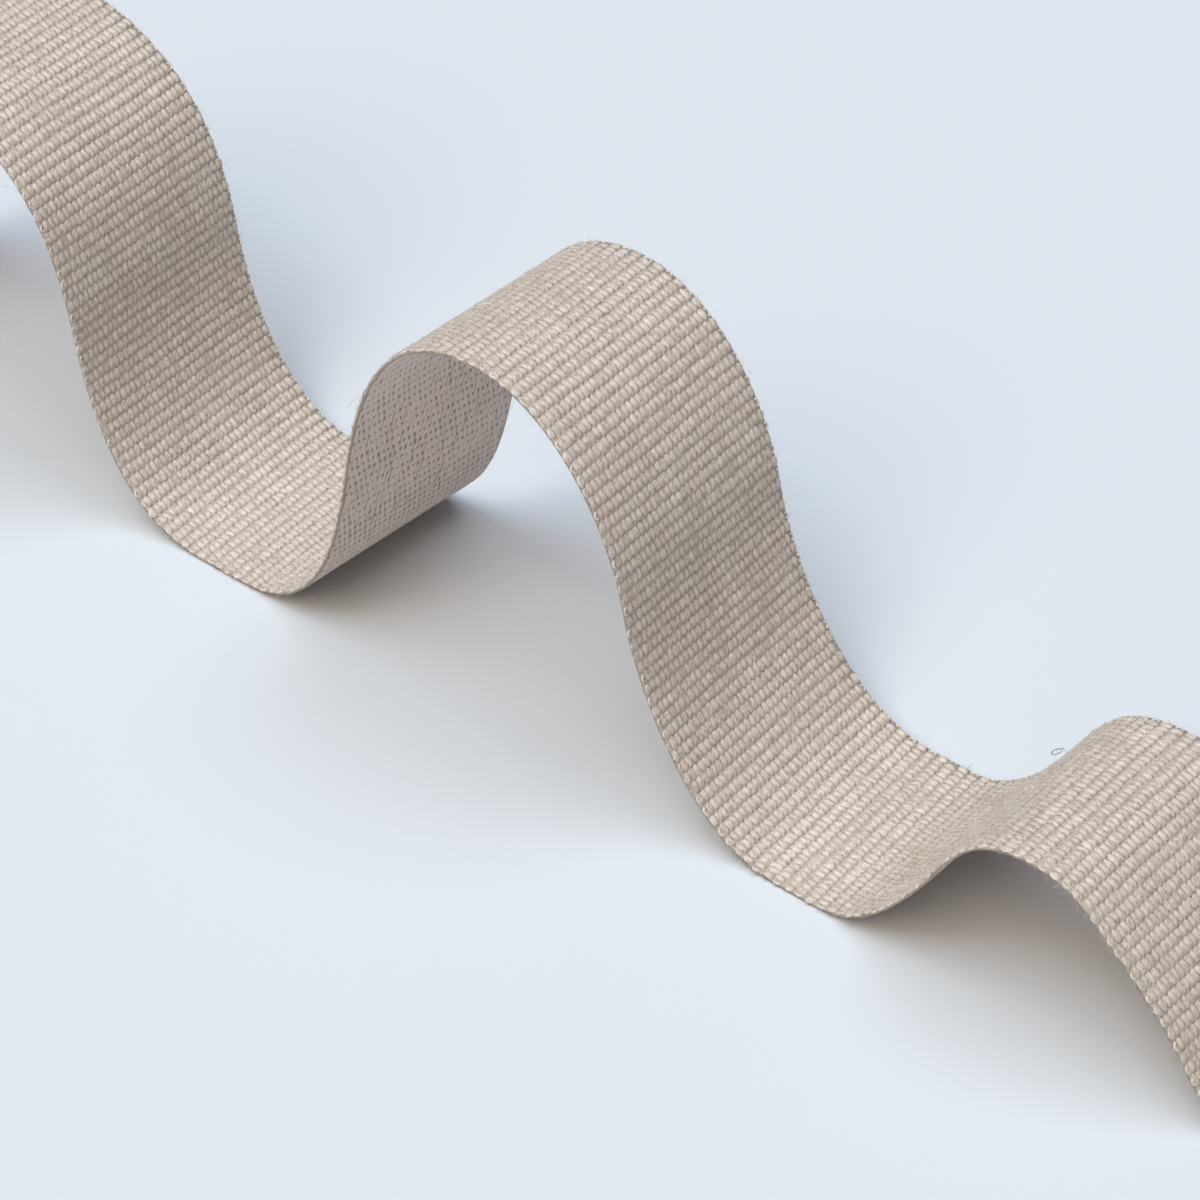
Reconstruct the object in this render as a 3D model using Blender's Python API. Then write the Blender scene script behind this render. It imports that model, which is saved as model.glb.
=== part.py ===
"""A cut length of woven linen tape that stands on a table in three upright waves.

Run it with: blender --background --python part.py

X runs along the tape, from its left cut end to its right one. Y runs across its width, from the
near selvedge to the far one, and +Z is up. The origin is the middle of the tape's box, on the
table. The tape is first made flat, as it comes off the loom, with one rib across it for each
pick, and is then laid on its folds.
"""

from collections import namedtuple
from math import cos, radians, sin

import bmesh
import bpy
from mathutils import Vector

MM = 0.001

# The tape as woven, in millimetres. The cloth is about half as thick as this sheet, which is
# given body so that it can be held as a solid.
WIDTH = 20.0
THICKNESS = 1.0
RIB_PITCH = 1.04
RIB_HEIGHT = 0.2
STEPS_PER_RIB = 2

# The folds, in millimetres and degrees, one row for each place where the tape turns or changes
# its bend. place and height are the near selvedge's underside, and slope is its direction there.
# pull_in and pull_out say how far the tape keeps that direction before and after the row, as a
# share of the way to the next row. The far selvedge lies far_shift along X and far_lift up from
# the near one, because the waves were set up by hand and are a little askew.
Fold = namedtuple("Fold", "name place height slope pull_in pull_out far_shift far_lift")
FOLDS = (
    #    name                  place height slope pull_in pull_out far_shift far_lift
    Fold("left cut end",         -87.0,   0.0,    0,   0.00,   0.33,     -0.6,     0.0),
    Fold("left tail lifts",      -81.5,   0.0,    0,   0.33,   0.42,     -0.4,     0.0),
    Fold("first rise",           -72.0,  18.0,   77,   0.38,   0.35,      0.0,     0.0),
    Fold("first crest",          -57.5,  36.0,    0,   0.40,   0.50,     -1.4,    -0.4),
    Fold("first fall",           -38.8,  18.0,  -82,   0.40,   0.34,      0.0,     0.0),
    Fold("first trough",         -25.5,   0.0,    0,   0.42,   0.33,      1.4,     0.0),
    Fold("first trough ends",    -21.0,   0.0,    0,   0.33,   0.39,      2.4,     0.0),
    Fold("second rise",           -7.7,  18.5,   80,   0.40,   0.32,      1.2,     0.0),
    Fold("second crest",           5.9,  36.4,    0,   0.44,   0.37,      0.4,    -0.8),
    Fold("second fall",           20.6,  20.0,  -79,   0.32,   0.32,     -0.2,     0.0),
    Fold("second trough",         36.0,   0.0,    0,   0.32,   0.33,      0.9,     0.0),
    Fold("second trough ends",    40.3,   0.0,    0,   0.33,   0.29,      0.8,     0.0),
    Fold("third rise",            50.6,  10.0,   62,   0.36,   0.42,      0.6,    -0.3),
    Fold("third crest",           59.3,  16.6,    0,   0.46,   0.32,      0.8,    -1.0),
    Fold("third fall",            69.7,   9.3,  -42,   0.34,   0.36,      0.6,    -0.5),
    Fold("right tail lands",      81.0,   0.0,    0,   0.42,   0.33,      0.3,     0.0),
    Fold("right cut end",         87.0,   0.0,    0,   0.33,   0.00,      0.6,     0.0),
)
CURVE_STEPS = 60

LINEN_COLOUR = (0.50, 0.42, 0.33, 1.0)
LINEN_ROUGHNESS = 0.9


def clear_scene():
    """Remove every object that the file opened with."""
    for thing in list(bpy.data.objects):
        bpy.data.objects.remove(thing, do_unlink=True)


def make_linen():
    """Return the undyed linen of the tape."""
    linen = bpy.data.materials.new("woven_linen")
    linen.use_nodes = True
    shader = linen.node_tree.nodes["Principled BSDF"]
    shader.inputs["Base Color"].default_value = LINEN_COLOUR
    shader.inputs["Roughness"].default_value = LINEN_ROUGHNESS
    shader.inputs["Metallic"].default_value = 0.0
    return linen


def fold_point(fold, side):
    """Return where a fold's row puts the near (side 0) or far (side 1) selvedge."""
    return Vector((fold.place + side * fold.far_shift, 0.0, fold.height + side * fold.far_lift))


def fold_curve(start, end, side):
    """Return the points of the smooth curve from one row to the next, without its last one."""
    first, last = fold_point(start, side), fold_point(end, side)
    reach = (last - first).length
    start_slope, end_slope = radians(start.slope), radians(end.slope)
    after_first = first + Vector((cos(start_slope), 0.0, sin(start_slope))) * start.pull_out * reach
    before_last = last - Vector((cos(end_slope), 0.0, sin(end_slope))) * end.pull_in * reach
    points = []
    for step in range(CURVE_STEPS):
        t = step / CURVE_STEPS
        u = 1.0 - t
        points.append(
            u ** 3 * first
            + 3 * u * u * t * after_first
            + 3 * u * t * t * before_last
            + t ** 3 * last
        )
    return points


def selvedge(side):
    """Return the whole path of one selvedge's underside as a dense list of points."""
    path = []
    for start, end in zip(FOLDS, FOLDS[1:]):
        path += fold_curve(start, end, side)
    path.append(fold_point(FOLDS[-1], side))
    return path


def path_length(path):
    """Return the length along a list of points."""
    return sum((b - a).length for a, b in zip(path, path[1:]))


def evenly_spaced(path, count):
    """Return count + 1 points at even steps along a path."""
    stride = path_length(path) / count
    points = [path[0].copy()]
    walked, wanted = 0.0, stride
    for a, b in zip(path, path[1:]):
        span = (b - a).length
        while walked + span >= wanted and len(points) < count:
            points.append(a.lerp(b, (wanted - walked) / span))
            wanted += stride
        walked += span
    points.append(path[-1].copy())
    return points


def path_normals(points):
    """Return the upward side of the tape at each point of a selvedge."""
    normals = []
    for index in range(len(points)):
        before = points[max(index - 1, 0)]
        after = points[min(index + 1, len(points) - 1)]
        along = (after - before).normalized()
        normals.append(Vector((-along.z, 0.0, along.x)))
    return normals


def weave_flat_tape(rib_count):
    """Return a flat tape one unit long and wide, with a ridge across it for each rib.

    Its underside lies at height 0, and its heights are in millimetres already.
    """
    steps = rib_count * STEPS_PER_RIB
    tape = bmesh.new()
    bmesh.ops.create_grid(tape, x_segments=steps, y_segments=1, size=0.5)
    bmesh.ops.translate(tape, verts=tape.verts, vec=(0.5, 0.5, 0.0))
    extruded = bmesh.ops.extrude_face_region(tape, geom=tape.faces[:])
    face_side = [part for part in extruded["geom"] if isinstance(part, bmesh.types.BMVert)]
    for vertex in face_side:
        row = round(vertex.co.x * steps)
        vertex.co.z = THICKNESS + RIB_HEIGHT * (row % STEPS_PER_RIB)
    bmesh.ops.recalc_face_normals(tape, faces=tape.faces[:])
    return tape, steps


def lay_on_folds(tape, steps):
    """Carry each point of the flat tape to its place on the waves."""
    sides = []
    for side in (0, 1):
        points = evenly_spaced(selvedge(side), steps)
        sides.append((points, path_normals(points)))
    for vertex in tape.verts:
        row, side = round(vertex.co.x * steps), round(vertex.co.y)
        points, normals = sides[side]
        place = points[row] + normals[row] * vertex.co.z
        place.y = (side - 0.5) * WIDTH
        vertex.co = place * MM


def make_tape(linen):
    """Add the tape, one solid from cut end to cut end."""
    rib_count = round(path_length(selvedge(0)) / RIB_PITCH)
    tape, steps = weave_flat_tape(rib_count)
    lay_on_folds(tape, steps)
    mesh = bpy.data.meshes.new("linen_tape")
    tape.to_mesh(mesh)
    tape.free()
    mesh.materials.append(linen)
    bpy.context.scene.collection.objects.link(bpy.data.objects.new("linen_tape", mesh))


def main():
    """Build the whole part."""
    clear_scene()
    make_tape(make_linen())


main()
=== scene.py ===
"""Looks of a cut length of ribbed linen tape that stands on a table in upright waves.

The cloth is worked out flat first, in millimetres: s runs along the tape, y across it from the
near selvedge to the far one, and h up from its underside. TapeFolds then carries each flat point
to its place on the waves. What the eye reads as ribs are rows of small warp floats, which are
real meshes here. The streaks of the flax fibres in them are in the materials.
"""

import logging
import math
from dataclasses import dataclass, field
from enum import Enum
from typing import Any

import bmesh
import bpy
import numpy as np
from mathutils import Euler, Matrix, Vector


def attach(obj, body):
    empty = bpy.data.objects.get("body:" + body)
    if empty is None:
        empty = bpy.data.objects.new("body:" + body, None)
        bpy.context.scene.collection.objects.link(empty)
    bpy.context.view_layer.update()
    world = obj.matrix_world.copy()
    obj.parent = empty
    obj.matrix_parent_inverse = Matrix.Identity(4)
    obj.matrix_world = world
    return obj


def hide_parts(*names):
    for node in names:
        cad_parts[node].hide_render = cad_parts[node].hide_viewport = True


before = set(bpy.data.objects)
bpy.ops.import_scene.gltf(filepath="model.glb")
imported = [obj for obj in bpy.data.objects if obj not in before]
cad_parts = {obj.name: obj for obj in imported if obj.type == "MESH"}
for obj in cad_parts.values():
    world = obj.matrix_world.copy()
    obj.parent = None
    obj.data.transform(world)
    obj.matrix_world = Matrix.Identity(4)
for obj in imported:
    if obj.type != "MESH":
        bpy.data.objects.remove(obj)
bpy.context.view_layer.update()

LOG = logging.getLogger("linen_tape")

MM = 0.001
SEED = 41
FLAT_PLACE = "flat_place"
YARN_TINT = "yarn_tint"


class ClothSide(Enum):
    """The two sides of the cloth, each with the way that its floats bulge."""

    FACE = 1
    REVERSE = -1


class Selvedge(Enum):
    """The two woven edges, each with its share of the way across the tape."""

    NEAR = 0
    FAR = 1


@dataclass(frozen=True)
class Fold:
    """One place where the tape turns or changes its bend, in millimetres and degrees.

    place and height are the near selvedge's underside, and slope is its direction there. The
    pulls say how far the tape keeps that direction, as a share of the way to the next fold. The
    far selvedge lies far_shift along and far_lift up from the near one.
    """

    name: str
    place: float
    height: float
    slope: float
    pull_in: float
    pull_out: float
    far_shift: float
    far_lift: float


FOLDS = (
    Fold("left cut end", -87.0, 0.0, 0, 0.00, 0.33, -0.6, 0.0),
    Fold("left tail lifts", -81.5, 0.0, 0, 0.33, 0.42, -0.4, 0.0),
    Fold("first rise", -72.0, 18.0, 77, 0.38, 0.35, 0.0, 0.0),
    Fold("first crest", -57.5, 36.0, 0, 0.40, 0.50, -1.4, -0.4),
    Fold("first fall", -38.8, 18.0, -82, 0.40, 0.34, 0.0, 0.0),
    Fold("first trough", -25.5, 0.0, 0, 0.42, 0.33, 1.4, 0.0),
    Fold("first trough ends", -21.0, 0.0, 0, 0.33, 0.39, 2.4, 0.0),
    Fold("second rise", -7.7, 18.5, 80, 0.40, 0.32, 1.2, 0.0),
    Fold("second crest", 5.9, 36.4, 0, 0.44, 0.37, 0.4, -0.8),
    Fold("second fall", 20.6, 20.0, -79, 0.32, 0.32, -0.2, 0.0),
    Fold("second trough", 36.0, 0.0, 0, 0.32, 0.33, 0.9, 0.0),
    Fold("second trough ends", 40.3, 0.0, 0, 0.33, 0.29, 0.8, 0.0),
    Fold("third rise", 50.6, 10.0, 62, 0.36, 0.42, 0.6, -0.3),
    Fold("third crest", 59.3, 16.6, 0, 0.46, 0.32, 0.8, -1.0),
    Fold("third fall", 69.7, 9.3, -42, 0.34, 0.36, 0.6, -0.5),
    Fold("right tail lands", 81.0, 0.0, 0, 0.42, 0.33, 0.3, 0.0),
    Fold("right cut end", 87.0, 0.0, 0, 0.33, 0.00, 0.6, 0.0),
)


class TapeFolds:
    """The waves that the tape stands in, as a smooth surface over the flat cloth."""

    def __init__(self, width: float = 20.0, curve_steps: int = 60) -> None:
        """Work out both selvedges.

        Args:
            width: The tape's width in millimetres.
            curve_steps: How many points each stretch between two folds has.
        """
        self.width = width
        self.curve_steps = curve_steps
        self.paths = {side: self.selvedge_path(side) for side in Selvedge}
        self.walks = {side: self.walk(path) for side, path in self.paths.items()}
        self.ups = {side: self.upward(path) for side, path in self.paths.items()}

    @property
    def length(self) -> float:
        """Return the tape's flat length, along the near selvedge."""
        return float(self.walks[Selvedge.NEAR][-1])

    @property
    def mean_length(self) -> float:
        """Return the mean length of the two selvedges."""
        return float(np.mean([walk[-1] for walk in self.walks.values()]))

    def selvedge_path(self, side: Selvedge) -> np.ndarray:
        """Return the places and heights of one selvedge's underside, as rows of a table."""
        path = []
        for start, end in zip(FOLDS, FOLDS[1:]):
            path.append(self.curve_between(start, end, side))
        last = FOLDS[-1]
        end_point = (last.place + side.value * last.far_shift, last.height)
        return np.vstack([*path, end_point])

    def curve_between(self, start: Fold, end: Fold, side: Selvedge) -> np.ndarray:
        """Return the smooth curve from one fold to the next, without its last point.

        Args:
            start: The fold where the curve starts.
            end: The fold where it ends.
            side: The selvedge that it follows.

        Returns:
            A table of places and heights in millimetres.
        """
        first, last = (
            np.array((f.place + side.value * f.far_shift, f.height + side.value * f.far_lift))
            for f in (start, end)
        )
        reach = np.linalg.norm(last - first)
        leaving, arriving = (
            np.array((math.cos(math.radians(f.slope)), math.sin(math.radians(f.slope))))
            for f in (start, end)
        )
        after_first = first + leaving * start.pull_out * reach
        before_last = last - arriving * end.pull_in * reach
        t = (np.arange(self.curve_steps) / self.curve_steps)[:, None]
        u = 1.0 - t
        return (
            u ** 3 * first
            + 3 * u * u * t * after_first
            + 3 * u * t * t * before_last
            + t ** 3 * last
        )

    @staticmethod
    def walk(path: np.ndarray) -> np.ndarray:
        """Return how far along a path each of its points lies."""
        steps = np.linalg.norm(np.diff(path, axis=0), axis=1)
        return np.concatenate(([0.0], np.cumsum(steps)))

    @staticmethod
    def upward(path: np.ndarray) -> np.ndarray:
        """Return the direction of the tape's face at each point of a path."""
        along = np.gradient(path, axis=0)
        along /= np.linalg.norm(along, axis=1)[:, None]
        return np.column_stack((-along[:, 1], along[:, 0]))

    def lay(self, flat: np.ndarray) -> np.ndarray:
        """Carry flat points to their places on the waves.

        Args:
            flat: A table of s, y and h in millimetres.

        Returns:
            A table of x, y and z in metres.
        """
        s, y, h = flat[:, 0], flat[:, 1], flat[:, 2]
        share_along = np.clip(s / self.length, 0.0, 1.0)
        past_end = s - share_along * self.length
        across = np.clip(y / self.width, 0.0, 1.0)
        place = np.zeros((len(s), 2))
        up = np.zeros((len(s), 2))
        for side, weight in ((Selvedge.NEAR, 1.0 - across), (Selvedge.FAR, across)):
            walk, path, ups = self.walks[side], self.paths[side], self.ups[side]
            stop = share_along * walk[-1]
            for axis in (0, 1):
                place[:, axis] += weight * np.interp(stop, walk, path[:, axis])
                up[:, axis] += weight * np.interp(stop, walk, ups[:, axis])
        up /= np.linalg.norm(up, axis=1)[:, None]
        placed = place + up * h[:, None]
        placed[:, 0] += past_end
        return np.column_stack((placed[:, 0], y - self.width / 2, placed[:, 1])) * MM


@dataclass(frozen=True)
class Weave:
    """The count of the weave and its unevenness, in millimetres.

    Each rib is one weft pick, covered by a row of warp floats. Neighbouring ribs show the other
    half of the warp ends, so their floats lie in brick order.
    """

    rib_pitch: float = 1.04
    float_pitch: float = 0.594
    first_float: float = 0.345
    floats_on_rib: int = 33
    rib_shift: float = 0.02
    rib_wander: float = 0.04
    wander_length: float = 7.0
    slub_length: float = 9.0
    slub: float = 0.04


def linear(hex_colour: str) -> tuple[float, float, float, float]:
    """Return an sRGB hex colour as linear red, green, blue and alpha.

    Args:
        hex_colour: Six hex digits after a hash sign.

    Returns:
        The four values that Blender's colour sockets take.
    """
    parts = [int(hex_colour[n:n + 2], 16) / 255 for n in (1, 3, 5)]
    curved = [p / 12.92 if p <= 0.04045 else ((p + 0.055) / 1.055) ** 2.4 for p in parts]
    return (*curved, 1.0)


def add_node(
    tree: bpy.types.NodeTree,
    kind: str,
    settings: dict[str, Any] | None = None,
    inputs: dict[str | int, Any] | None = None,
) -> bpy.types.Node:
    """Add a node with its settings, values and links.

    Args:
        tree: The tree that gets the node.
        kind: The node's type.
        settings: The node's own properties.
        inputs: A value for each input, or the socket that feeds it.

    Returns:
        The new node.
    """
    node = tree.nodes.new(kind)
    for name, value in (settings or {}).items():
        setattr(node, name, value)
    for name, value in (inputs or {}).items():
        if isinstance(value, bpy.types.NodeSocket):
            tree.links.new(value, node.inputs[name])
        else:
            node.inputs[name].default_value = value
    return node


@dataclass(frozen=True)
class LinenFinish:
    """Undyed, washed linen yarn, as spun and woven: matt, with a soft lustre on each float.

    The fibres are a few hundredths of a millimetre thick, too fine for the render, so their
    streaks are drawn about as wide as a bundle of them.

    The colour also holds painted light and shade. Down in the pits it is their painted shade,
    which eases into the yarn's own colour by the flank height. From there to the crown height
    the yarn is painted paler, as painted light on the crowns. Small flecks in the pits' colour,
    where the streak noise runs low, are painted shade as well.
    """

    name: str
    pale: str
    deep: str
    # Painted shade and light: the colour of the shaded pits, and the heights where it gives way to the yarn's
    # own colour and where the crowns are painted palest.
    painted_pit_shade: str
    pit_shade_height: float
    flank_height: float
    crown_height: float
    roughness: float = 0.45
    specular: float = 0.9
    sheen: float = 0.05
    streak_width: float = 0.12
    streak_length: float = 0.5
    streak_turn: float = 8.0
    # Where the streak noise falls below these, small flecks get the pits' painted shade.
    shade_fleck_start: float = 0.33
    shade_fleck_end: float = 0.45
    cloud_size: float = 4.5
    bump_depth: float = 0.10
    tint_share: float = 0.4
    streak_share: float = 1.2
    cloud_share: float = 0.4
    # How much paler the crowns are painted, as painted light.
    painted_crown_light_share: float = 0.30

    def material(self) -> bpy.types.Material:
        """Return the yarn's material: its streaks, clouds and fibre relief, with painted shade in
        the pits and flecks and painted light on the crowns.
        """
        linen = bpy.data.materials.new(self.name)
        linen.use_nodes = True
        tree = linen.node_tree
        shader = tree.nodes["Principled BSDF"]
        shader.inputs["Roughness"].default_value = self.roughness
        shader.inputs["Specular IOR Level"].default_value = self.specular
        shader.inputs["Sheen Weight"].default_value = self.sheen
        shader.inputs["Sheen Roughness"].default_value = 0.5
        place = add_node(tree, "ShaderNodeAttribute", {"attribute_name": FLAT_PLACE})
        tint = add_node(tree, "ShaderNodeAttribute", {"attribute_name": YARN_TINT})
        streaks = self.noise(tree, place, self.streak_length, self.streak_width)
        clouds = self.noise(tree, place, self.cloud_size, self.cloud_size)
        height = add_node(tree, "ShaderNodeSeparateXYZ", None, {0: place.outputs["Vector"]})
        # Painted light: the yarn is painted paler from the flank height up to the crown height.
        raised = self.rise(tree, height.outputs["Z"], self.flank_height, self.crown_height)
        mixed = self.blend_of(tree, (
            (tint.outputs["Fac"], self.tint_share),
            (streaks.outputs["Fac"], self.streak_share),
            (clouds.outputs["Fac"], self.cloud_share),
            (raised, self.painted_crown_light_share),
        ))
        yarn = add_node(tree, "ShaderNodeMix", {"data_type": "RGBA"},
                        {0: mixed, 6: linear(self.deep), 7: linear(self.pale)})
        # Painted shade: the pits' colour low in the pits and in flecks where the streak noise runs low.
        out_of_pit_shade = self.rise(tree, height.outputs["Z"], self.pit_shade_height, self.flank_height)
        between_shade_flecks = self.rise(tree, streaks.outputs["Fac"], self.shade_fleck_start, self.shade_fleck_end)
        clear = add_node(tree, "ShaderNodeMath", {"operation": "MINIMUM"},
                         {0: out_of_pit_shade, 1: between_shade_flecks})
        colour = add_node(tree, "ShaderNodeMix", {"data_type": "RGBA"},
                          {0: clear.outputs[0], 6: linear(self.painted_pit_shade), 7: yarn.outputs[2]})
        relief = add_node(tree, "ShaderNodeBump", None, {
            "Height": streaks.outputs["Fac"],
            "Distance": self.bump_depth * MM,
        })
        tree.links.new(colour.outputs[2], shader.inputs["Base Color"])
        tree.links.new(relief.outputs["Normal"], shader.inputs["Normal"])
        return linen

    @staticmethod
    def rise(
        tree: bpy.types.NodeTree, height: bpy.types.NodeSocket, start: float, end: float
    ) -> bpy.types.NodeSocket:
        """Return how far a height has come from start (0) to end (1), softly at both."""
        share = add_node(tree, "ShaderNodeMapRange", {"interpolation_type": "SMOOTHSTEP"}, {
            "Value": height,
            "From Min": start,
            "From Max": end,
        })
        return share.outputs["Result"]

    def noise(
        self, tree: bpy.types.NodeTree, place: bpy.types.Node, along: float, across: float
    ) -> bpy.types.Node:
        """Return a noise over the flat cloth.

        Args:
            tree: The material's tree.
            place: The node that gives the flat place in millimetres.
            along: The noise's grain along the fibres, in millimetres.
            across: Its grain across them.

        Returns:
            The noise's node.
        """
        turned = add_node(tree, "ShaderNodeVectorRotate", {"rotation_type": "Z_AXIS"}, {
            "Vector": place.outputs["Vector"],
            "Angle": math.radians(self.streak_turn),
        })
        grain = add_node(tree, "ShaderNodeVectorMath", {"operation": "MULTIPLY"}, {
            0: turned.outputs["Vector"],
            1: (1 / along, 1 / across, 1 / along),
        })
        return add_node(tree, "ShaderNodeTexNoise", None, {
            "Vector": grain.outputs["Vector"],
            "Scale": 1.0,
            "Detail": 2.0,
            "Roughness": 0.55,
        })

    def blend_of(
        self, tree: bpy.types.NodeTree, parts: tuple[tuple[bpy.types.NodeSocket, float], ...]
    ) -> bpy.types.NodeSocket:
        """Return how pale the yarn is, from 0 to 1.

        Args:
            tree: The material's tree.
            parts: Each thing that makes it paler, as a value about 0.5, and its share.

        Returns:
            The socket that gives the sum, 0.5 where all of them are at their middle.
        """
        total: Any = 0.5
        for value, share in parts:
            centred = add_node(tree, "ShaderNodeMath", {"operation": "SUBTRACT"}, {0: value, 1: 0.5})
            total = add_node(tree, "ShaderNodeMath", {"operation": "MULTIPLY_ADD"}, {
                0: centred.outputs[0],
                1: share,
                2: total,
            }).outputs[0]
        return total


# Washed flax with a soft lustre: rounded floats, painted paler towards their crowns as painted
# light, and darker at their rims, in the pits between ribs and in small flecks as painted shade.
FACE_YARN = LinenFinish(
    "washed_linen_face_yarn", pale="#E6D9CA", deep="#B2A28F", painted_pit_shade="#A09080",
    pit_shade_height=0.335, flank_height=0.39, crown_height=0.50,
)
# The same yarn on the other side, where it lies flat: dull, painted paler and a little rosier
# than the face as painted light for the shade inside the waves, with faint painted shade at
# its pits and painted light on its crowns.
PALER_PAINTED_REVERSE_YARN = LinenFinish(
    "washed_linen_reverse_yarn", pale="#EADACF", deep="#D6C5B9", painted_pit_shade="#BFAFA5",
    pit_shade_height=0.08, flank_height=0.06, crown_height=0.02, roughness=0.8, specular=0.2, sheen=0.3,
    shade_fleck_start=0.05, shade_fleck_end=0.15, bump_depth=0.03,
)
# The covered weft, which gives the eye only the depth between the floats: painted darker than
# the floats' yarn as painted shade of that depth, and darker still between the ribs and below.
WEFT_YARN_PAINTED_IN_SHADE = LinenFinish(
    "linen_weft_painted_in_shade", pale="#D3C5B4", deep="#B3A491", painted_pit_shade="#A3968A",
    pit_shade_height=0.15, flank_height=0.32, crown_height=0.41, specular=0.2,
)
# The weft where it shows bare as it turns at the edges: a row of small pale beads, painted a
# little paler on top as painted light, with small flecks of painted shade.
SELVEDGE_YARN = LinenFinish(
    "linen_selvedge_turns", pale="#E5DACD", deep="#C8BBAC", painted_pit_shade="#B9ADA0",
    pit_shade_height=0.05, flank_height=0.12, crown_height=0.26,
)
# Single fibres, pale enough to catch the light as a fine fuzz on the cloth and its edges.
LOOSE_FIBRE = LinenFinish(
    "loose_flax_fibre", pale="#EFE8DD", deep="#D9CDBE", painted_pit_shade="#D9CDBE",
    pit_shade_height=-2.0, flank_height=-1.0, crown_height=0.0, specular=0.3,
)
# A few fibres stuck together: greyer than the yarn, so that they show against the floor.
STRAY_FIBRE = LinenFinish(
    "grey_flax_fibre_bundle", pale="#B5B2AA", deep="#9C9A93", painted_pit_shade="#9C9A93",
    pit_shade_height=-3.0, flank_height=-2.5, crown_height=-2.0, specular=0.2,
)


def add_piece(name: str, mesh: bpy.types.Mesh, finish: LinenFinish) -> bpy.types.Object:
    """Put a finished mesh into the scene as a piece of the tape.

    Args:
        name: The piece's name.
        mesh: Its mesh, in place and in metres.
        finish: What it is made of.

    Returns:
        The piece, which rides on the tape's only body.
    """
    made = bpy.data.materials.get(finish.name) or finish.material()
    mesh.materials.clear()
    mesh.materials.append(made)
    mesh.name = name
    piece = bpy.data.objects.new(name, mesh)
    bpy.context.scene.collection.objects.link(piece)
    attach(piece, "root")
    triangles = sum(len(face.vertices) - 2 for face in mesh.polygons)
    LOG.info("%s: %d triangles, %s", name, triangles, finish.name)
    return piece


def as_mesh(shape: bmesh.types.BMesh) -> bpy.types.Mesh:
    """Return a bmesh as a mesh, and free it. A closed one gets its faces outward.

    Recalculated normals can all come out inward on a thin lens, which its volume then shows.
    """
    mesh = bpy.data.meshes.new("shape")
    bmesh.ops.recalc_face_normals(shape, faces=shape.faces[:])
    closed = not any(edge.is_boundary for edge in shape.edges)
    if closed and shape.calc_volume(signed=True) < 0.0:
        bmesh.ops.reverse_faces(shape, faces=shape.faces[:])
    shape.to_mesh(mesh)
    shape.free()
    return mesh


def repeat(
    shape: bmesh.types.BMesh, rows: tuple[tuple[int, tuple[float, float, float]], ...]
) -> bpy.types.Mesh:
    """Return one mesh that holds many copies of a small shape.

    Args:
        shape: The shape that is repeated. It is freed.
        rows: For each array in turn, the number of copies and the step between them.

    Returns:
        The joined mesh, with the vertices of each copy in a run of their own.
    """
    seed = bpy.data.objects.new("seed", as_mesh(shape))
    bpy.context.scene.collection.objects.link(seed)
    for count, step in rows:
        array = seed.modifiers.new("copies", "ARRAY")
        array.count = count
        array.use_relative_offset = False
        array.use_constant_offset = True
        array.constant_offset_displace = step
    bpy.context.view_layer.update()
    copies = bpy.data.meshes.new_from_object(seed.evaluated_get(bpy.context.evaluated_depsgraph_get()))
    bpy.data.objects.remove(seed, do_unlink=True)
    return copies


def read_points(mesh: bpy.types.Mesh) -> np.ndarray:
    """Return a mesh's vertices as a table."""
    points = np.empty(len(mesh.vertices) * 3)
    mesh.vertices.foreach_get("co", points)
    return points.reshape(-1, 3)


def lay_mesh(mesh: bpy.types.Mesh, flat: np.ndarray, tint: np.ndarray, folds: TapeFolds) -> bpy.types.Mesh:
    """Lay a flat mesh on the waves, and keep its flat places and tints for the materials.

    Args:
        mesh: The mesh to move.
        flat: The flat place of each of its vertices, in millimetres.
        tint: The shade of each vertex's yarn, from 0 to 1.
        folds: The waves.

    Returns:
        The same mesh.
    """
    mesh.vertices.foreach_set("co", folds.lay(flat).ravel())
    mesh.attributes.new(FLAT_PLACE, "FLOAT_VECTOR", "POINT").data.foreach_set("vector", flat.ravel())
    mesh.attributes.new(YARN_TINT, "FLOAT", "POINT").data.foreach_set("value", tint.ravel())
    mesh.shade_smooth()
    mesh.update()
    return mesh


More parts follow.
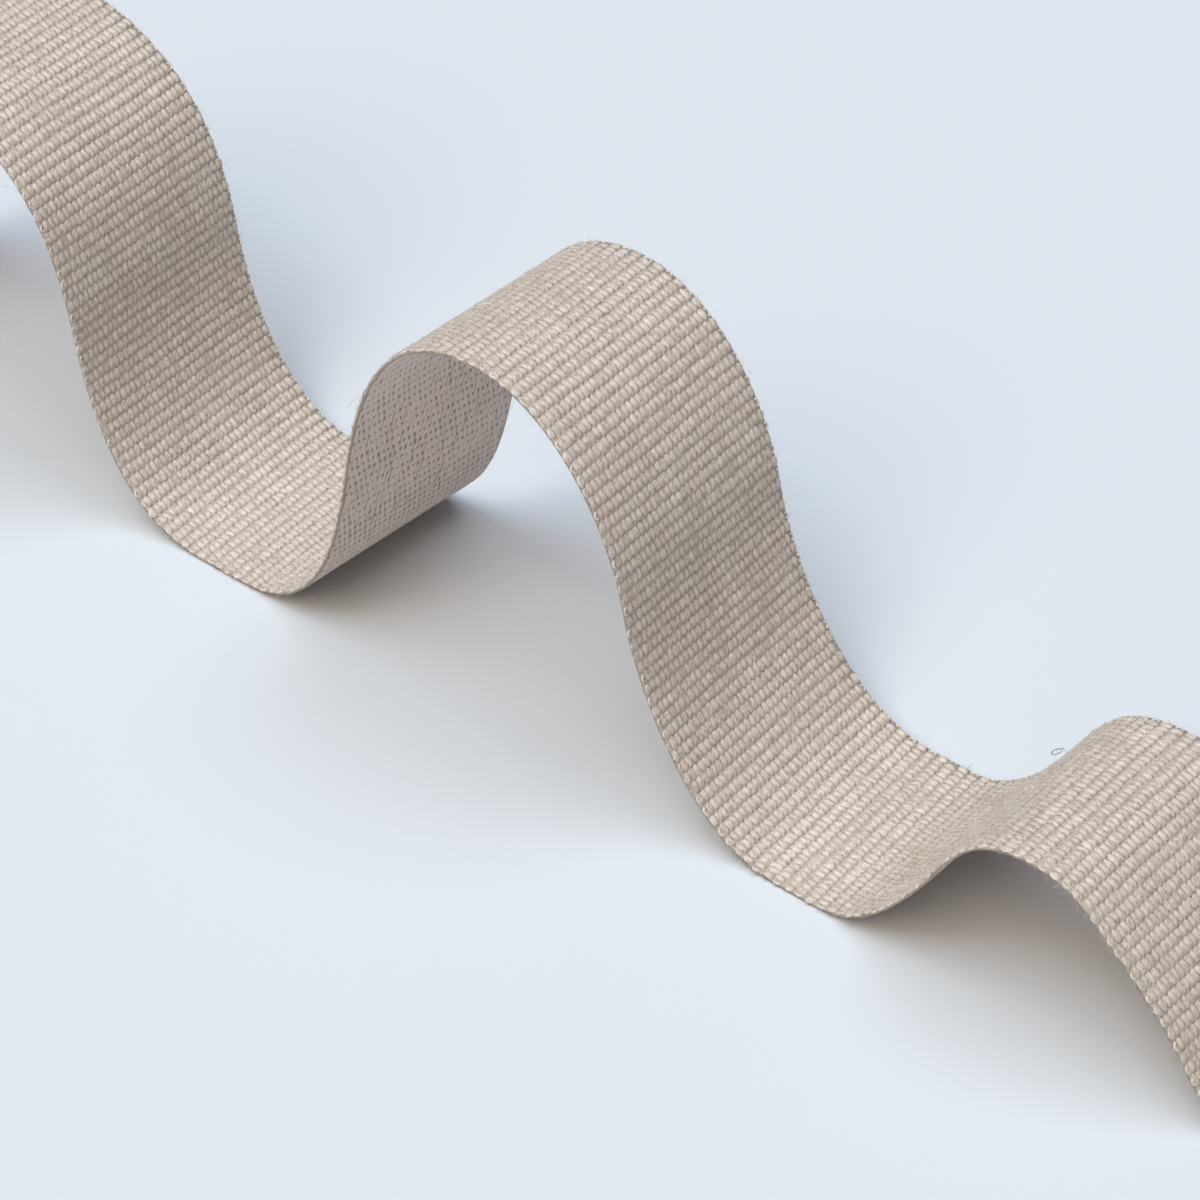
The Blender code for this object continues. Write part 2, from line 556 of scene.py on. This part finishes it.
class Unevenness:
    """The small chances of spinning and weaving, the same on every run."""

    def __init__(self, weave: Weave, folds: TapeFolds) -> None:
        """Draw the shift of each rib and the slubs and shade of each warp end.

        Args:
            weave: The weave's count and how uneven it is.
            folds: The waves, for the length of the tape.
        """
        chance = np.random.default_rng(SEED)
        self.weave = weave
        self.rib_count = round(folds.length / weave.rib_pitch)
        self.rib_step = folds.length / self.rib_count
        knots = math.ceil(folds.width / weave.wander_length) + 2
        self.rib_shifts = chance.normal(0.0, weave.rib_shift, self.rib_count)
        self.rib_bulks = chance.normal(1.0, 0.05, self.rib_count)
        drift = self.smoothed(chance.normal(0.0, 1.0, (self.rib_count, knots)), 3)
        self.wanders = drift / drift.std() * weave.rib_wander
        ends = 2 * weave.floats_on_rib
        lengths = math.ceil(folds.length / weave.slub_length) + 2
        self.slubs = chance.normal(0.0, 1.0, (ends, lengths))
        along_ends = chance.normal(0.0, 1.0, (ends, lengths))
        between_ends = chance.normal(0.0, 1.0, (ends, 1))
        self.shades = 0.5 + 0.14 * along_ends + 0.07 * between_ends

    @staticmethod
    def smoothed(rows: np.ndarray, times: int) -> np.ndarray:
        """Return a table whose rows have been evened with their neighbours."""
        for _ in range(times):
            rows = (np.roll(rows, 1, axis=0) + rows + np.roll(rows, -1, axis=0)) / 3
        return rows

    def rib_place(self, rib: np.ndarray, y: np.ndarray) -> np.ndarray:
        """Return where a rib's crown lies along the tape, at each place across it.

        Args:
            rib: The number of each point's rib.
            y: The point's place across the tape.

        Returns:
            The places s in millimetres.
        """
        across = np.clip(y / self.weave.wander_length, 0.0, self.wanders.shape[1] - 1.001)
        knot = across.astype(int)
        share = across - knot
        share = share * share * (3 - 2 * share)
        wander = self.wanders[rib, knot] * (1 - share) + self.wanders[rib, knot + 1] * share
        return (rib + 0.5) * self.rib_step + self.rib_shifts[rib] + wander

    def along_end(self, table: np.ndarray, end: np.ndarray, s: np.ndarray) -> np.ndarray:
        """Return a warp end's value at each place along it, from its knots."""
        stop = np.clip(s / self.weave.slub_length, 0.0, table.shape[1] - 1.001)
        knot = stop.astype(int)
        share = stop - knot
        return table[end, knot] * (1 - share) + table[end, knot + 1] * share


@dataclass
class FloatLayer:
    """The warp floats on one side of the cloth, in millimetres.

    A float is the short arch of a warp end over one weft pick. Its rim is at rim_height, inside
    the ground cloth, and its crown lies crown above or below that. A fullness of 1 gives it the
    section of a half ellipse, and 0 a narrower crown with soft flanks.
    """

    side: ClothSide
    finish: LinenFinish
    rim_height: float
    crown: float
    length: float
    width: float
    fullness: float
    arch_power: float = 1.0
    bluntness: float = 1.0
    steps_along: int = 5
    steps_across: int = 4
    tip_narrowing: float = 0.55
    lean: float = 5.0
    lean_spread: float = 5.0
    stray: float = 0.025
    size_spread: float = 0.05
    pieces: int = 3
    made: list[bpy.types.Object] = field(default_factory=list)

    def one_float(self) -> bmesh.types.BMesh:
        """Return one float, a closed lens with its crown up or down."""
        lens = bmesh.new()
        bmesh.ops.create_grid(lens, x_segments=self.steps_along, y_segments=self.steps_across, size=0.5)
        rim = [edge for edge in lens.edges if edge.is_boundary]
        base = bmesh.ops.contextual_create(lens, geom=rim)["faces"]
        for vertex in lens.verts:
            across = vertex.co.y
            along = math.copysign(abs(2 * vertex.co.x) ** self.bluntness / 2, vertex.co.x)
            arch = max(math.cos(math.pi * along), 0.0) ** self.arch_power
            narrowed = 1.0 - self.tip_narrowing * abs(2 * along) ** 2.6
            rounded = 0.5 * math.sin(math.pi * across)
            section_place = across + (rounded - across) * self.fullness
            vertex.co = (
                along * self.length,
                section_place * narrowed * self.width,
                self.side.value * self.crown * arch * math.cos(math.pi * across),
            )
        bmesh.ops.poke(lens, faces=base)
        return lens

    def build(self, weave: Weave, chances: Unevenness, folds: TapeFolds) -> list[bpy.types.Object]:
        """Weave this side's floats and lay them on the waves.

        Args:
            weave: The weave's count.
            chances: How each rib and warp end strays.
            folds: The waves.

        Returns:
            The pieces, each a run of ribs.
        """
        stops = np.linspace(0, chances.rib_count, self.pieces + 1).astype(int)
        for number, (first, last) in enumerate(zip(stops, stops[1:]), 1):
            mesh = self.run_of_ribs(int(first), int(last), weave, chances, folds)
            name = f"{self.side.name.lower()}_warp_floats_{number}"
            self.made.append(add_piece(name, mesh, self.finish))
        return self.made

    def run_of_ribs(
        self, first: int, last: int, weave: Weave, chances: Unevenness, folds: TapeFolds
    ) -> bpy.types.Mesh:
        """Return the floats of the ribs from first up to last, as one mesh on the waves."""
        ribs, columns = last - first, weave.floats_on_rib
        rows = ((columns, (0.0, weave.float_pitch, 0.0)), (ribs, (chances.rib_step, 0.0, 0.0)))
        mesh = repeat(self.one_float(), rows)
        lattice = read_points(mesh).reshape(ribs, columns, -1, 3)
        rib = np.arange(first, last)[:, None] + np.zeros((1, columns), int)
        column = np.arange(columns)[None, :] + np.zeros((ribs, 1), int)
        grid_place = np.stack((
            (rib - first) * chances.rib_step, column * weave.float_pitch, np.zeros(rib.shape)
        ), axis=-1)
        own = lattice - grid_place[:, :, None, :]
        other_half = (rib + (self.side is ClothSide.REVERSE)) % 2
        chance = np.random.default_rng(SEED + 1000 * self.side.value + first + 2000)
        end = 2 * column + other_half
        y = weave.first_float + column * weave.float_pitch + other_half * weave.float_pitch / 2
        y = y + chance.normal(0.0, self.stray / 2, y.shape)
        s = chances.rib_place(rib, y) + chance.normal(0.0, self.stray, y.shape)
        bulk = 1.0 + weave.slub * chances.along_end(chances.slubs, end, s)
        bulk = bulk * chance.normal(1.0, self.size_spread, y.shape)
        longer = chances.rib_bulks[rib] * chance.normal(1.0, self.size_spread, y.shape)
        higher = chances.rib_bulks[rib] * bulk * chance.normal(1.0, self.size_spread, y.shape)
        own[..., 0] *= longer[..., None]
        own[..., 1] *= bulk[..., None]
        own[..., 2] *= higher[..., None]
        lean = np.radians(chance.normal(self.lean, self.lean_spread, y.shape))[..., None]
        along = own[..., 0] * np.cos(lean) - own[..., 1] * np.sin(lean)
        across = own[..., 0] * np.sin(lean) + own[..., 1] * np.cos(lean)
        flat = np.stack((
            s[..., None] + along, y[..., None] + across, self.rim_height + own[..., 2]
        ), axis=-1)
        flat[..., 2] = np.maximum(flat[..., 2], 0.0)
        shade = chances.along_end(chances.shades, end, s) + chance.normal(0.0, 0.10, y.shape)
        tint = np.repeat(np.clip(shade, 0.0, 1.0)[..., None], flat.shape[2], axis=2)
        return lay_mesh(mesh, flat.reshape(-1, 3), tint, folds)


@dataclass
class GroundCloth:
    """The thin sheet inside the floats: the weft picks, which show only in the depth.

    Its finish paints it darker than the floats, as painted shade of that depth.

    Its sizes are in millimetres. Its upper side is dip lower between the ribs and dip higher
    beneath them.
    """

    under: float = 0.07
    over: float = 0.36
    dip: float = 0.015
    steps_per_rib: int = 4
    steps_across: int = 10
    edge_in: float = 0.04

    def build(self, chances: Unevenness, folds: TapeFolds) -> bpy.types.Object:
        """Weave the sheet flat, lay it on the waves and let it stand for the solid.

        Args:
            chances: The places of the ribs.
            folds: The waves.

        Returns:
            The sheet.
        """
        steps = chances.rib_count * self.steps_per_rib
        sheet = bmesh.new()
        bmesh.ops.create_grid(sheet, x_segments=steps, y_segments=self.steps_across, size=0.5)
        bmesh.ops.translate(sheet, verts=sheet.verts, vec=(0.5, 0.5, 0.0))
        raised = bmesh.ops.extrude_face_region(sheet, geom=sheet.faces[:])
        top = [part for part in raised["geom"] if isinstance(part, bmesh.types.BMVert)]
        bmesh.ops.translate(sheet, verts=top, vec=(0.0, 0.0, 1.0))
        mesh = as_mesh(sheet)
        unit = read_points(mesh)
        s = unit[:, 0] * folds.length
        y = self.edge_in + unit[:, 1] * (folds.width - 2 * self.edge_in)
        between_ribs = np.cos(2 * np.pi * s / chances.rib_step)
        h = np.where(unit[:, 2] > 0.5, self.over - between_ribs * self.dip, self.under)
        flat = np.column_stack((s, y, h))
        tint = np.full(len(s), 0.5)
        # The weft's finish paints the sheet darker, as painted shade.
        piece = add_piece("linen_ground_cloth", lay_mesh(mesh, flat, tint, folds), WEFT_YARN_PAINTED_IN_SHADE)
        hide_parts("linen_tape")
        return piece


@dataclass
class SelvedgeTurns:
    """The turns of the weft round the outermost warp ends, in millimetres."""

    thread: float = 0.12
    reach: float = 0.22
    sides: int = 6
    steps: int = 6
    span: float = 0.60
    height: float = 0.31
    inset: float = 0.25

    def one_turn(self) -> bmesh.types.BMesh:
        """Return one turn, a closed half ring of thread that bulges towards y below 0."""
        turn = bmesh.new()
        bmesh.ops.create_circle(turn, cap_ends=True, segments=self.sides, radius=self.thread)
        bmesh.ops.rotate(turn, verts=turn.verts, cent=(0, 0, 0), matrix=Matrix.Rotation(math.pi / 2, 3, "X"))
        bmesh.ops.translate(turn, verts=turn.verts, vec=(self.span / 2, 0.0, 0.0))
        bmesh.ops.spin(
            turn, geom=turn.faces[:], cent=(0, 0, 0), axis=(0, 0, 1), dvec=(0, 0, 0),
            angle=-math.pi, steps=self.steps, use_merge=False, use_duplicate=False,
        )
        bmesh.ops.scale(turn, verts=turn.verts, vec=(1.0, self.reach / (self.span / 2), 1.0))
        return turn

    def build(self, side: Selvedge, chances: Unevenness, folds: TapeFolds) -> bpy.types.Object:
        """Make the row of turns along one selvedge.

        Args:
            side: The selvedge.
            chances: The places of the ribs.
            folds: The waves.

        Returns:
            The row, one piece.
        """
        mesh = repeat(self.one_turn(), ((chances.rib_count, (chances.rib_step, 0.0, 0.0)),))
        rows = read_points(mesh).reshape(chances.rib_count, -1, 3)
        rib = np.arange(chances.rib_count)
        own = rows - np.stack((rib * chances.rib_step, rib * 0.0, rib * 0.0), axis=-1)[:, None, :]
        chance = np.random.default_rng(SEED + 7 + side.value)
        own *= chance.normal(1.0, 0.10, (len(rib), 1, 3))
        outward = 1.0 if side is Selvedge.NEAR else -1.0
        edge = np.full(len(rib), side.value * folds.width + outward * self.inset)
        edge = edge + chance.normal(0.0, 0.03, len(rib))
        s = chances.rib_place(rib, edge) + chance.normal(0.0, 0.03, len(rib))
        h = self.height + chance.normal(0.0, 0.02, len(rib))
        flat = np.stack((
            s[:, None] + own[..., 0], edge[:, None] + outward * own[..., 1], h[:, None] + own[..., 2]
        ), axis=-1)
        tint = np.repeat(chance.uniform(0.2, 0.9, (len(rib), 1)), flat.shape[1], axis=1)
        lay_mesh(mesh, flat.reshape(-1, 3), tint, folds)
        if side is Selvedge.FAR:
            mesh.flip_normals()
        return add_piece(f"{side.name.lower()}_selvedge_turns", mesh, SELVEDGE_YARN)


@dataclass(frozen=True)
class StrayFibre:
    """One longer fibre that has worked loose at a selvedge, in millimetres.

    place is where it starts, along the tape, and lift how far above the edge. The pulls are the
    three further points of its curve, each measured from there as s, outward from the edge, and
    h. The first two rows are one bundle of fibres, a stem and the hairpin that it ends in.
    """

    side: Selvedge
    place: float
    lift: float
    radius: float
    pulls: tuple[tuple[float, float, float], ...]


STRAY_FIBRES = (
    StrayFibre(Selvedge.FAR, 228.60, 0.0, 0.024, ((0.05, 0.0, 0.2), (0.20, 0.0, 0.45), (0.24, 0.0, 0.62))),
    StrayFibre(Selvedge.FAR, 228.84, 0.6, 0.050, ((-1.9, 0.0, 0.95), (-2.33, 0.0, -0.13), (-0.27, 0.0, -0.05))),
    StrayFibre(Selvedge.NEAR, 164.4, 0.0, 0.018, ((-0.2, 0.4, -0.1), (-0.6, 0.8, -0.4), (-0.2, 1.2, -0.9))),
    StrayFibre(Selvedge.NEAR, 163.2, 0.0, 0.016, ((-0.3, 0.5, -0.2), (-0.9, 0.6, -0.5), (-1.4, 1.0, -0.5))),
    StrayFibre(Selvedge.NEAR, 145.9, 0.0, 0.018, ((-0.3, 0.5, 0.3), (-0.7, 0.9, 0.5), (-1.3, 0.9, 0.4))),
)


@dataclass
class FibreFuzz:
    """Loose fibres that stand off the cloth, in millimetres.

    Flax fibres are about 0.02 mm thick, and the loose ones are drawn at that. The stray ones
    are drawn thicker, as a few fibres that cling together.
    """

    radius: float = 0.011
    steps: int = 4
    on_selvedges: int = 1500
    on_face: int = 900
    on_reverse: int = 500
    stray_steps: int = 16

    @staticmethod
    def one_fibre(radius: float, steps: int) -> bmesh.types.BMesh:
        """Return one straight fibre of length 1 along z, closed at both ends."""
        fibre = bmesh.new()
        bmesh.ops.create_cone(fibre, cap_ends=True, segments=3, radius1=radius, radius2=radius, depth=1.0)
        bmesh.ops.translate(fibre, verts=fibre.verts, vec=(0.0, 0.0, 0.5))
        long_edges = [edge for edge in fibre.edges if edge.verts[0].co.z != edge.verts[1].co.z]
        bmesh.ops.subdivide_edges(fibre, edges=long_edges, cuts=steps - 1, use_grid_fill=True)
        return fibre

    @staticmethod
    def swept(
        own: np.ndarray, centre: np.ndarray, heading: np.ndarray, normal: np.ndarray
    ) -> np.ndarray:
        """Return straight fibres bent along their paths, with their sections square to them.

        Args:
            own: The points of the straight fibres, whose section lies in x and y.
            centre: Where the path is at each point.
            heading: Which way the path runs there, at any length.
            normal: The normal of the plane that each path lies in or near.

        Returns:
            The flat places of the points.
        """
        along = heading / np.linalg.norm(heading, axis=-1, keepdims=True)
        side = normal - (normal * along).sum(axis=-1, keepdims=True) * along
        side = side / np.linalg.norm(side, axis=-1, keepdims=True)
        return centre + own[..., 0:1] * side + own[..., 1:2] * np.cross(along, side)

    def build_strays(self, folds: TapeFolds) -> bpy.types.Object:
        """Bend the few longer fibres off the selvedges, and return them as one piece."""
        count = len(STRAY_FIBRES)
        mesh = repeat(self.one_fibre(1.0, self.stray_steps), ((count, (3.0, 0.0, 0.0)),))
        own = read_points(mesh).reshape(count, -1, 3)
        own[..., 0] -= 3.0 * np.arange(count)[:, None]
        own[..., :2] *= np.array([fibre.radius for fibre in STRAY_FIBRES])[:, None, None]
        flat = np.empty_like(own)
        for fibre, points, placed in zip(STRAY_FIBRES, own, flat):
            t = points[:, 2:3]
            outward = 1.0 if fibre.side is Selvedge.FAR else -1.0
            pulls = np.array(fibre.pulls) * (1.0, outward, 1.0)
            first, second, last = pulls
            root = (fibre.place, fibre.side.value * folds.width - outward * 0.1, 0.3 + fibre.lift)
            bent = 3 * (1 - t) ** 2 * t * first + 3 * (1 - t) * t * t * second + t ** 3 * last
            heading = (1 - t) ** 2 * first + 2 * (1 - t) * t * (second - first) + t * t * (last - second)
            flattest = np.linalg.svd(pulls)[2][2]
            placed[:] = self.swept(points, root + bent, heading, flattest)
        tint = np.full(flat.shape[:2], 0.5)
        return add_piece("stray_fibres", lay_mesh(mesh, flat.reshape(-1, 3), tint, folds), STRAY_FIBRE)

    def build(self, chances: Unevenness, folds: TapeFolds) -> bpy.types.Object:
        """Scatter the fibres over the cloth and its selvedges.

        Args:
            chances: The length of the woven ribs; not used.
            folds: The waves.

        Returns:
            All the fibres, as one piece.
        """
        total = self.on_selvedges + self.on_face + self.on_reverse
        mesh = repeat(self.one_fibre(self.radius, self.steps), ((total, (1.0, 0.0, 0.0)),))
        own = read_points(mesh).reshape(total, -1, 3)
        own[..., 0] -= np.arange(total)[:, None]
        chance = np.random.default_rng(SEED + 19)
        kind = np.repeat((0, 1, 2), (self.on_selvedges, self.on_face, self.on_reverse))
        at_edge, below = kind == 0, kind == 2
        far = chance.random(total) < 0.5
        root = np.column_stack((
            chance.uniform(0.5, folds.length - 0.5, total),
            np.where(at_edge, np.where(far, folds.width, 0.0), chance.uniform(0.3, folds.width - 0.3, total)),
            np.where(at_edge, chance.uniform(0.1, 0.45, total), np.where(below, 0.08, 0.48)),
        ))
        outward = np.where(far, 1.0, -1.0)
        rise = np.where(below, -0.15, 1.0)
        heading = chance.uniform(0, 2 * np.pi, total)
        reach = chance.gamma(3.0, 0.16, total) + 0.15
        way = np.column_stack((
            np.cos(heading) * 1.1,
            np.where(at_edge, outward * chance.uniform(0.2, 0.9, total), np.sin(heading) * 0.8),
            np.where(at_edge, chance.normal(0.0, 0.35, total), chance.uniform(0.05, 0.40, total) * rise),
        ))
        curl = chance.normal(0.0, 0.45, (total, 3))
        curl[:, 2] *= 0.3
        t = own[..., 2][..., None]
        bent = t * way[:, None, :] + (t * t - t) * curl[:, None, :]
        centre = root[:, None, :] + bent * reach[:, None, None]
        path_heading = way[:, None, :] + (2 * t - 1) * curl[:, None, :]
        flat = self.swept(own, centre, path_heading, np.cross(way, curl)[:, None, :])
        flat[..., 2] = np.maximum(flat[..., 2], 0.005)
        tint = np.repeat(chance.random((total, 1)), flat.shape[1], axis=1)
        return add_piece("loose_fibres", lay_mesh(mesh, flat.reshape(-1, 3), tint, folds), LOOSE_FIBRE)


@dataclass(frozen=True)
class SoftLight:
    """A large diffused light. Its azimuth is counted from +X towards +Y, and its power in watts."""

    name: str
    azimuth: float
    elevation: float
    power: float
    colour: str


@dataclass
class Studio:
    """A pale seamless floor, large soft lights overhead and the camera.

    The camera and the floor are in millimetres, and the lights' size and distance in metres.
    """

    camera_place: tuple[float, float, float] = (166.4, -191.6, 226.0)
    camera_azimuth: float = 39.16
    camera_elevation: float = 41.34
    lens: float = 121.49
    floor_size: float = 3000.0
    floor_drop: float = 0.01
    floor_colour: str = "#D5D8D9"
    light_size: float = 2.0
    light_distance: float = 3.0
    lights: tuple[SoftLight, ...] = (
        SoftLight("ceiling_behind", 60.0, 72.0, 40.0, "#E6EFFF"),
        SoftLight("ceiling_in_front", 240.0, 73.0, 57.5, "#E6F3FF"),
        SoftLight("window_in_front", 270.0, 48.0, 41.0, "#FFEEDE"),
        SoftLight("room_by_the_camera", 315.0, 35.0, 8.5, "#FFF2E6"),
    )
    room_colour: str = "#A9C8FF"
    room_strength: float = 0.045

    def build(self) -> None:
        """Set the floor, the lights and the camera."""
        self.add_floor()
        self.add_lights()
        self.add_camera()

    def add_floor(self) -> None:
        """Lay the floor, a matt painted board that gives a soft bounce and no gloss."""
        board = bmesh.new()
        bmesh.ops.create_grid(board, x_segments=1, y_segments=1, size=self.floor_size * MM / 2)
        bmesh.ops.translate(board, verts=board.verts, vec=(0, 0, -self.floor_drop * MM))
        floor = bpy.data.objects.new("floor", as_mesh(board))
        paint = bpy.data.materials.new("matt_painted_board")
        paint.use_nodes = True
        shader = paint.node_tree.nodes["Principled BSDF"]
        shader.inputs["Base Color"].default_value = linear(self.floor_colour)
        shader.inputs["Roughness"].default_value = 0.9
        shader.inputs["Specular IOR Level"].default_value = 0.1
        floor.data.materials.append(paint)
        bpy.context.scene.collection.objects.link(floor)

    def add_light(self, light: SoftLight) -> None:
        """Hang one round soft light that faces the tape."""
        lamp = bpy.data.lights.new(light.name, "AREA")
        lamp.shape = "DISK"
        lamp.size = self.light_size
        lamp.energy = light.power
        lamp.color = linear(light.colour)[:3]
        azimuth, elevation = math.radians(light.azimuth), math.radians(light.elevation)
        level = math.cos(elevation)
        place = Vector((math.cos(azimuth) * level, math.sin(azimuth) * level, math.sin(elevation)))
        holder = bpy.data.objects.new(light.name, lamp)
        holder.location = place * self.light_distance
        holder.rotation_euler = place.to_track_quat("Z", "Y").to_euler()
        bpy.context.scene.collection.objects.link(holder)

    def add_lights(self) -> None:
        """Hang the lights, in a room that gives hardly any light of its own."""
        for light in self.lights:
            self.add_light(light)
        world = bpy.data.worlds.new("dim_room")
        world.use_nodes = True
        room = world.node_tree.nodes["Background"]
        room.inputs["Color"].default_value = linear(self.room_colour)
        room.inputs["Strength"].default_value = self.room_strength
        bpy.context.scene.world = world

    def add_camera(self) -> None:
        """Set the camera where the photograph was taken from."""
        eye = bpy.data.cameras.new("camera")
        eye.lens = self.lens
        eye.sensor_width = 36.0
        eye.clip_start = 0.01
        holder = bpy.data.objects.new("camera", eye)
        holder.location = Vector(self.camera_place) * MM
        holder.rotation_euler = Euler((
            math.radians(90.0 - self.camera_elevation), 0.0, math.radians(self.camera_azimuth)
        ))
        bpy.context.scene.collection.objects.link(holder)
        bpy.context.scene.camera = holder
        bpy.context.scene.view_settings.view_transform = "Standard"


def main() -> None:
    """Build the tape's looks piece by piece, then the studio round it."""
    logging.basicConfig(level=logging.INFO, format="%(message)s")
    folds, weave = TapeFolds(), Weave()
    chances = Unevenness(weave, folds)
    LOG.info("tape: %.1f mm long, %d ribs", folds.length, chances.rib_count)
    ground = GroundCloth().build(chances, folds)
    face = FloatLayer(
        ClothSide.FACE, FACE_YARN, rim_height=0.30, crown=0.21, length=1.28, width=0.74, fullness=0.6,
    )
    reverse = FloatLayer(
        ClothSide.REVERSE, PALER_PAINTED_REVERSE_YARN, rim_height=0.10, crown=0.09, length=2.06, width=0.43, fullness=1.0,
        arch_power=0.2, bluntness=0.25, steps_along=3, steps_across=3, tip_narrowing=0.1, lean=0.0,
        lean_spread=2.0, stray=0.05, size_spread=0.06, pieces=2,
    )
    woven = face.build(weave, chances, folds) + reverse.build(weave, chances, folds)
    turns = [SelvedgeTurns().build(side, chances, folds) for side in Selvedge]
    fuzz = FibreFuzz()
    fibres = [fuzz.build(chances, folds), fuzz.build_strays(folds)]
    Studio().build()


if __name__ == "__main__":
    main()
